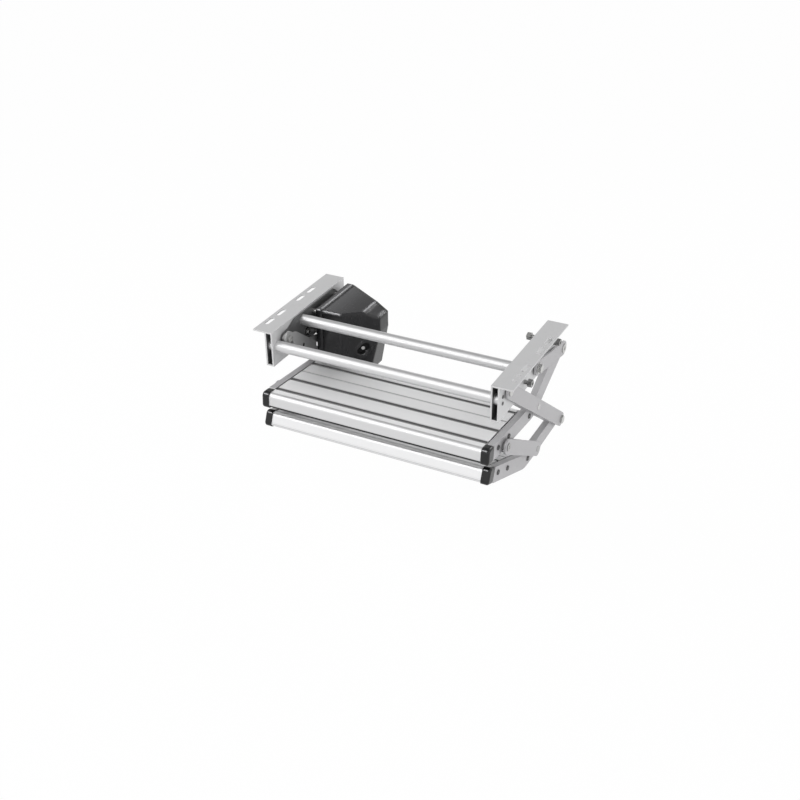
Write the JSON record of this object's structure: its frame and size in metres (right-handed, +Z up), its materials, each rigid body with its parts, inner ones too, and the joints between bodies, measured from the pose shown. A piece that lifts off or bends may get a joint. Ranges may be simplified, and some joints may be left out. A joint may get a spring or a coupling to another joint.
{
  "type": "folding double entry step",
  "caption": "Motor-driven folding double entry step for a caravan or camper: slotted rails, cross tubes, folding side links, ribbed metal treads and a side motor housing.",
  "frame": {"origin": "on the mounting plane (the rails' top faces), midway between the rails, at the rails' front ends", "axes": "+X to the right seen from in front, +Y to the back, away from someone using the step, +Z up"},
  "size_m": [0.517, 0.3681, 0.2582],
  "materials": {
    "rail_alloy": "satin anodised",
    "tube_alloy": "satin drawn",
    "tread_alloy": "brushed anodised",
    "link_steel": "silver powder coat",
    "fastener_steel": "zinc plated",
    "bush_plastic": "moulded",
    "cap_plastic": "gloss moulded",
    "housing_plastic": "fine moulded",
    "plate_black": "black coat",
    "drive_steel": "grey plated"
  },
  "bodies": {
    "frame": {"left_rail": "rail_alloy", "right_rail": "rail_alloy", "front_cross_tube": "tube_alloy", "rear_cross_tube": "tube_alloy", "tube_screws": "fastener_steel", "rail_bushes": "bush_plastic", "stay_bolts": "fastener_steel", "front_stop_bolts": "fastener_steel", "right_rear_stop_bolt": "fastener_steel", "left_rear_stop_bolt": "fastener_steel", "motor_plate": "plate_black", "motor_spacers": "plate_black", "housing_base": "housing_plastic", "housing_cover": "housing_plastic", "cover_screw": "fastener_steel", "gear_motor": "drive_steel"},
    "arms": {"left_arm": "link_steel", "right_arm": "link_steel", "left_arm_shaft": "fastener_steel", "right_arm_shaft": "fastener_steel", "arm_pins": "fastener_steel", "drive_lever": "drive_steel", "lever_pin": "fastener_steel"},
    "stays": {"left_stay": "link_steel", "right_stay": "link_steel", "stay_pins": "fastener_steel"},
    "upper_step": {"upper_tread": "tread_alloy", "upper_right_plate": "link_steel", "upper_left_plate": "link_steel", "upper_right_cap": "cap_plastic", "upper_left_cap": "cap_plastic", "upper_rear_bar": "tread_alloy", "upper_screws": "fastener_steel", "step_pins": "fastener_steel"},
    "lower_links": {"left_lower_link": "link_steel", "right_lower_link": "link_steel", "link_pins": "fastener_steel"},
    "lower_step": {"lower_tread": "tread_alloy", "lower_right_plate": "link_steel", "lower_left_plate": "link_steel", "lower_right_cap": "cap_plastic", "lower_left_cap": "cap_plastic", "lower_rear_bar": "tread_alloy", "lower_screws": "fastener_steel"},
    "drive_crank_body": {"drive_crank": "drive_steel"},
    "drive_rod_body": {"drive_rod": "drive_steel"}
  },
  "joints": [
    {"name": "arm_fold", "type": "hinge", "parent": "frame", "child": "arms", "pos_m": [0, 0.0373, -0.0255], "axis": [-1, 0, 0], "range_deg": [0, 90]},
    {"name": "stay_fold", "type": "hinge", "parent": "frame", "child": "stays", "pos_m": [0, 0.1722, -0.048], "axis": [-1, 0, 0], "range_deg": [0, 147.96]},
    {"name": "upper_step_tilt", "type": "hinge", "parent": "arms", "child": "upper_step", "pos_m": [0, 0.18543, -0.13699], "axis": [1, 0, 0], "range_deg": [0, 95]},
    {"name": "lower_link_fold", "type": "hinge", "parent": "upper_step", "child": "lower_links", "pos_m": [0, 0.0383, -0.14], "axis": [-1, 0, 0], "range_deg": [0, 88.45]},
    {"name": "lower_step_tilt", "type": "hinge", "parent": "arms", "child": "lower_step", "pos_m": [0, 0.3223, -0.24], "axis": [1, 0, 0], "range_deg": [0, 112.28]},
    {"name": "crank_turn", "type": "hinge", "parent": "frame", "child": "drive_crank_body", "pos_m": [0, 0.18754, -0.06], "axis": [-1, 0, 0], "range_deg": [0, 90.01]},
    {"name": "rod_turn", "type": "hinge", "parent": "arms", "child": "drive_rod_body", "pos_m": [0, 0.08684, -0.06278], "axis": [1, 0, 0], "range_deg": [0, 90.01]}
  ],
  "couplings": [
    {"joint": "stay_fold", "follows": "arm_fold", "ratio": 1.6438},
    {"joint": "upper_step_tilt", "follows": "arm_fold", "ratio": 1.0555},
    {"joint": "lower_link_fold", "follows": "arm_fold", "ratio": 0.98263},
    {"joint": "lower_step_tilt", "follows": "arm_fold", "ratio": 1.2474},
    {"joint": "crank_turn", "follows": "arm_fold", "ratio": 1},
    {"joint": "rod_turn", "follows": "arm_fold", "ratio": 1}
  ]
}
